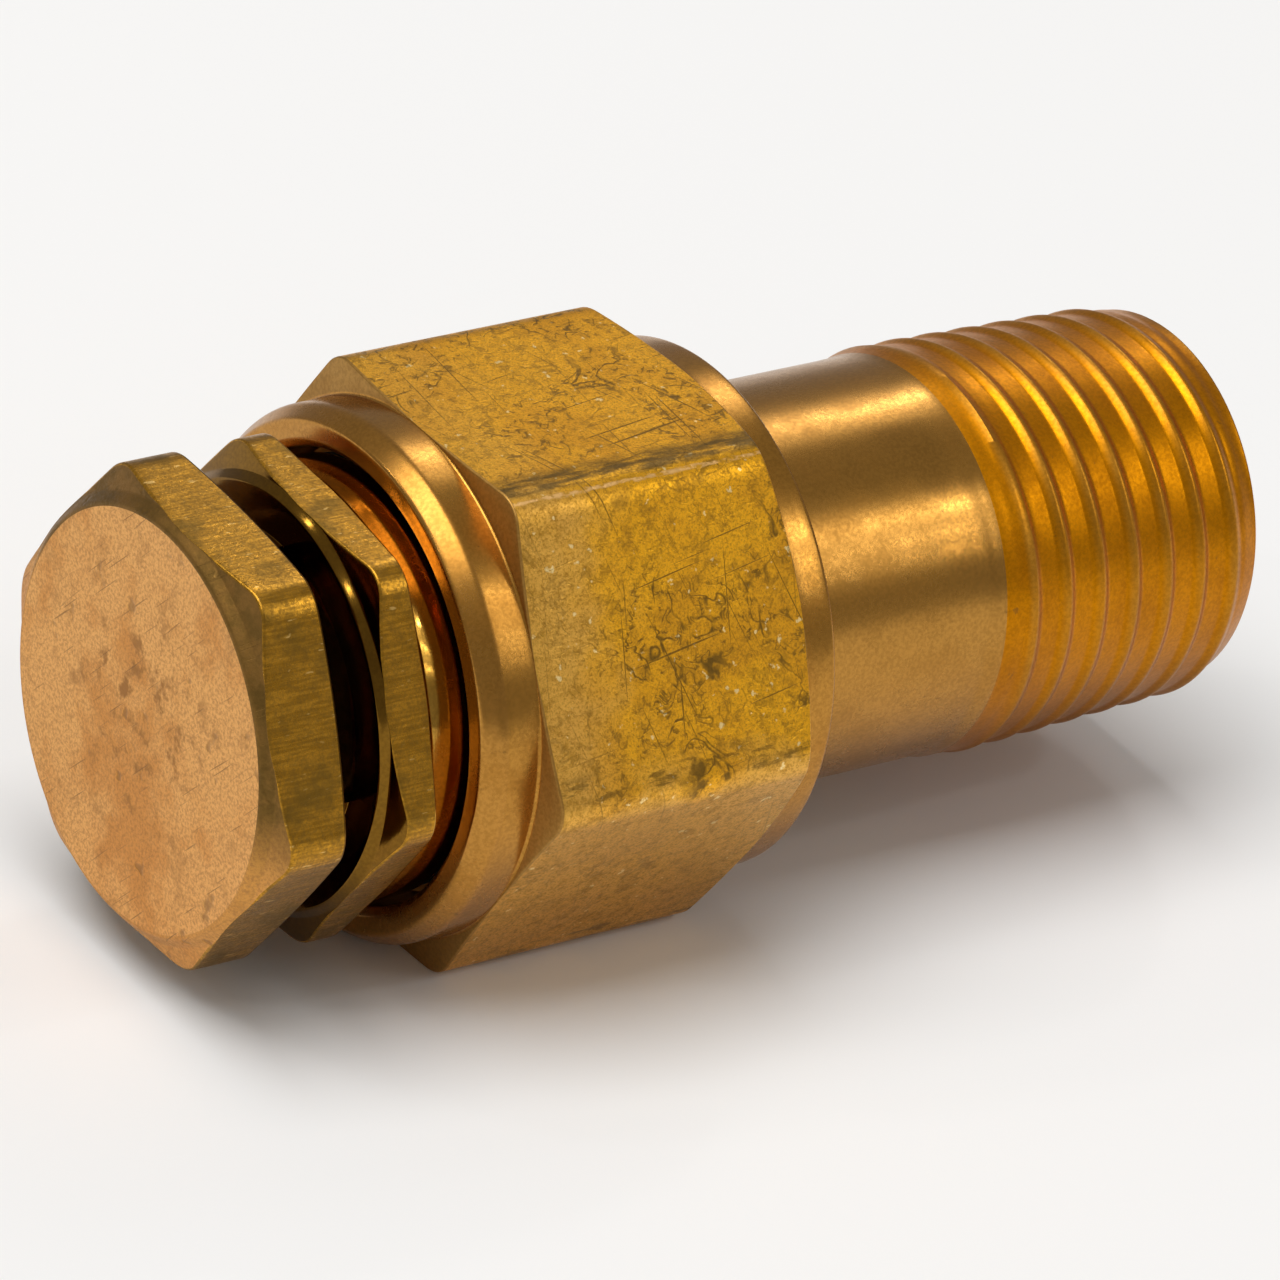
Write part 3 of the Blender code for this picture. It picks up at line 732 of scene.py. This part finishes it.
def cut_windows(piece):
    """Cuts one slot through the stem, which makes a window on each side of it."""
    tool = bmesh.new()
    bmesh.ops.create_cube(tool, size=1.0)
    height = (FLANGE_FRONT - CAP_BACK) * MM
    bmesh.ops.scale(tool, verts=tool.verts, vec=(height, WINDOW_CUT * MM, WINDOW_WIDTH * MM))
    spin = Matrix.Rotation(math.radians(WINDOW_TURNED), 3, "X")
    bmesh.ops.rotate(tool, verts=tool.verts, matrix=spin)
    middle = HEX_CENTRE_X + (FLANGE_FRONT + CAP_BACK) / 2 * MM
    bmesh.ops.translate(tool, verts=tool.verts, vec=(middle, 0, AXIS_Z))
    mesh = bpy.data.meshes.new("windows")
    tool.to_mesh(mesh)
    tool.free()
    cutter = bpy.data.objects.new("windows", mesh)
    bpy.context.scene.collection.objects.link(cutter)
    boolean = piece.modifiers.new("windows", "BOOLEAN")
    boolean.object = cutter
    boolean.solver = "EXACT"
    graph = bpy.context.evaluated_depsgraph_get()
    graph.update()
    cut = bpy.data.meshes.new_from_object(piece.evaluated_get(graph))
    piece.modifiers.clear()
    piece.data = cut
    bpy.data.objects.remove(cutter)
    shade(cut)


def head_outside(hexagon):
    """Corners of the outer skin, from the middle of the cap's face to the spigot's tip."""
    bevel_r = np.minimum(CAP_FACE_R + CAP_BEVEL, hexagon - SHORT_OF_FLAT)
    bevel = CAP_FACE + bevel_r - CAP_FACE_R
    cap_edge = bevel + (hexagon - bevel_r) * CAP_SLOPE
    flange_r = np.minimum(FLANGE_FRONT_R + FLANGE_BEVEL, hexagon - SHORT_OF_FLAT)
    flange_bevel = FLANGE_FRONT + flange_r - FLANGE_FRONT_R
    flange_edge = flange_bevel + (hexagon - flange_r) * CAP_SLOPE
    return [
        (CAP_FACE, 0.0, 0.0, "face", 26),
        (CAP_FACE, CAP_FACE_R, 0.10, "bevelled", 3),
        (bevel, bevel_r, 0.05, "slope", 3),
        (cap_edge, hexagon, 0.08, "flats", 6),
        (CAP_BACK - (hexagon - CAP_BACK_R) * CAP_BACK_SLOPE, hexagon, 0.08, "groove", 3),
        (CAP_BACK, CAP_BACK_R - 0.1, 0.05, "groove", 4),
        (CAP_BACK, STEM_R, 0.04, "groove", 4),
        (FLANGE_FRONT, STEM_R, 0.04, "groove", 4),
        (FLANGE_FRONT, FLANGE_FRONT_R, 0.06, "groove", 3),
        (flange_bevel, flange_r, 0.05, "groove", 3),
        (flange_edge, hexagon, 0.07, "flats", 4),
        (FLANGE_BACK - (hexagon - FLANGE_BACK_R) * FLANGE_BACK_SLOPE, hexagon, 0.07, "turned", 3),
        (HEAD_COLLAR_FRONT, HEAD_COLLAR_R, 0.08, "turned", 5),
        (HEAD_COLLAR_BACK, HEAD_COLLAR_R, 0.12, "turned", 3),
        (HEAD_COLLAR_BACK, RELIEF_R, 0.05, "turned", 3),
        (HEAD_THREAD_START - 0.4, RELIEF_R, 0.05, "turned", 2),
        (HEAD_THREAD_START, SPIGOT_R, 0.05, "turned", 72),
        (SPIGOT_END - SPIGOT_BEVEL, SPIGOT_R, 0.05, "turned", 6),
        (SPIGOT_END, SPIGOT_R - SPIGOT_BEVEL, 0.05, "turned", 2),
    ]


def head_inside():
    """Corners of the bore for the disc pack and the vent chamber, up to the axis."""
    return [
        (SPIGOT_END, PACK_BORE_R, 0.04, "inside", 4),
        (CIRCLIP_GROOVE[1], PACK_BORE_R, 0.0, "inside", 2),
        (CIRCLIP_GROOVE[1], CIRCLIP_GROOVE_R, 0.0, "inside", 2),
        (CIRCLIP_GROOVE[0], CIRCLIP_GROOVE_R, 0.0, "inside", 2),
        (CIRCLIP_GROOVE[0], PACK_BORE_R, 0.0, "inside", 4),
        (PACK_SHOULDER, PACK_BORE_R, 0.0, "inside", 2),
        (PACK_SHOULDER, VENT_CHAMBER_R, 0.0, "inside", 4),
        (CAP_BACK, VENT_CHAMBER_R, 0.0, "inside", 2),
        (CAP_BACK - VENT_CHAMBER_BEVEL, VENT_CHAMBER_R - VENT_CHAMBER_BEVEL, 0.0, "inside", 4),
        (CAP_BACK - VENT_CHAMBER_BEVEL, 0.0, 0.0, "inside", 1),
    ]


def head_finishes():
    """The material of each zone of the head."""
    return {
        "turned": turned_brass("polished_brass", (0.56, 0.30, 0.05), (0.42, 0.21, 0.025), 0.10, 0.08),
        "flats": brushed_brass("brushed_brass"),
        "face": face_brass("face_brass", (0.82, 0.44, 0.14)),
        # The head's inside carries painted shade.
        "inside": painted_shade_bore("painted_shade_bore"),
        "bevelled": face_brass("bevel_brass", (0.66, 0.33, 0.08), (0.16, 0.09, 0.022)),
        "slope": face_brass("slope_brass", (0.70, 0.35, 0.09), (0.18, 0.10, 0.025)),
        # Painted shade: the groove, from the cap's back to the flange's bevel, is coloured dark brown.
        "groove": turned_brass("painted_shade_groove_brass", (0.22, 0.11, 0.014), (0.15, 0.07, 0.01), 0.12, 0.08),
    }


def make_head():
    angles = sector_angles(turned=-HEAD_TURNED, flat_steps=16, corner_steps=10, corner_span=10)
    hexagon = hex_radius(angles, HEAD_FLATS, HEAD_CORNER_R, -HEAD_TURNED)
    grid, zones = rounded_path(head_outside(hexagon) + head_inside(), angles)
    add_spigot_thread(grid, angles)
    mesh = loop_mesh("head_shell", grid, angles, zones, head_finishes(), through=False)
    piece = add_piece("head_shell", mesh, "head", "vent_head")
    cut_windows(piece)


# -------------------------------------------------------------------- camera, floor and lights


def direction(azimuth, elevation):
    flat = math.cos(elevation)
    return Vector((math.sin(azimuth) * flat, -math.cos(azimuth) * flat, math.sin(elevation)))


def make_camera():
    back = direction(CAMERA_AZIMUTH, CAMERA_ELEVATION)
    right = Vector((math.cos(CAMERA_AZIMUTH), math.sin(CAMERA_AZIMUTH), 0))
    up = back.cross(right)
    tilted_right = right * math.cos(CAMERA_ROLL) + up * math.sin(CAMERA_ROLL)
    tilted_up = up * math.cos(CAMERA_ROLL) - right * math.sin(CAMERA_ROLL)
    centre = Vector((HEX_CENTRE_X, 0, AXIS_Z))
    place = centre + tilted_right * CAMERA_ASIDE + tilted_up * CAMERA_ABOVE + back * CAMERA_DISTANCE
    camera = bpy.data.cameras.new("camera")
    camera.lens = CAMERA_LENS
    camera.sensor_width = 36
    camera.clip_start = 0.01
    camera.clip_end = 20
    holder = bpy.data.objects.new("camera", camera)
    turn = Matrix((tilted_right, tilted_up, back)).transposed().to_4x4()
    holder.matrix_world = Matrix.Translation(place) @ turn
    bpy.context.scene.collection.objects.link(holder)
    bpy.context.scene.camera = holder


def make_floor():
    grid = bmesh.new()
    bmesh.ops.create_grid(grid, x_segments=1, y_segments=1, size=FLOOR_HALF)
    mesh = bpy.data.meshes.new("floor")
    grid.to_mesh(mesh)
    grid.free()
    floor = bpy.data.objects.new("floor", mesh)
    material = bpy.data.materials.new("pale_floor")
    material.use_nodes = True
    shader = material.node_tree.nodes["Principled BSDF"]
    shader.inputs["Base Color"].default_value = (0.86, 0.86, 0.86, 1.0)
    shader.inputs["Roughness"].default_value = 0.9
    shader.inputs["Specular IOR Level"].default_value = 0.1
    mesh.materials.append(material)
    bpy.context.scene.collection.objects.link(floor)


def add_light(name, azimuth, elevation, width, height, radiance, shape="RECTANGLE"):
    """A soft light that looks as bright as the given radiance from the object."""
    light = bpy.data.lights.new(name, "AREA")
    light.shape = shape
    light.size = width
    light.size_y = height
    area = width * height * (math.pi / 4 if shape == "ELLIPSE" else 1)
    light.energy = radiance * math.pi * area
    holder = bpy.data.objects.new(name, light)
    towards = direction(math.radians(azimuth), math.radians(elevation))
    turn = towards.to_track_quat("Z", "Y").to_matrix().to_4x4()
    holder.matrix_world = Matrix.Translation(towards * LIGHT_DISTANCE) @ turn
    bpy.context.scene.collection.objects.link(holder)


def make_lights():
    world = bpy.data.worlds.new("studio")
    world.use_nodes = True
    background = world.node_tree.nodes["Background"]
    background.inputs["Color"].default_value = SKY_COLOUR
    background.inputs["Strength"].default_value = SKY_STRENGTH
    bpy.context.scene.world = world
    bpy.context.scene.view_settings.view_transform = "Standard"
    for name, settings in BOXES.items():
        add_light(name, *settings)
    for number, place in enumerate(LAMPS, start=1):
        add_light(f"lamp_{number}", *place, LAMP_SIZE, LAMP_SIZE, LAMP_RADIANCE, "ELLIPSE")
    for number, place in enumerate(STRIPS, start=1):
        add_light(f"strip_{number}", *place, STRIP_WIDTH, STRIP_HEIGHT, STRIP_RADIANCE)


# -------------------------------------------------------------------------------- the scene


def finish_inner_pieces():
    """Gives the CAD nodes that still show the finish that their material slot names."""
    finishes = {
        "inner_brass": turned_brass("inner_brass", (0.80, 0.55, 0.22), (0.55, 0.33, 0.12), 0.28),
        "spring_steel": plain_finish("spring_steel", (0.56, 0.57, 0.58), 0.28, 1.0, 5.0, 0.004),
        "black_rubber": plain_finish("black_rubber", (0.022, 0.022, 0.024), 0.6, 0.0, 4.0, 0.01),
        "vulcanised_fibre": plain_finish("vulcanised_fibre", (0.40, 0.11, 0.06), 0.72, 0.0, 3.0, 0.02),
    }
    for entry in frame["record"]["subparts"]:
        finish = finishes.get(entry["material_slot"])
        if finish:
            node = frame["nodes"][entry["node"]]
            node.data.materials.clear()
            node.data.materials.append(finish)


def build():
    make_body()
    make_head()
    finish_inner_pieces()
    make_floor()
    make_lights()
    make_camera()


build()
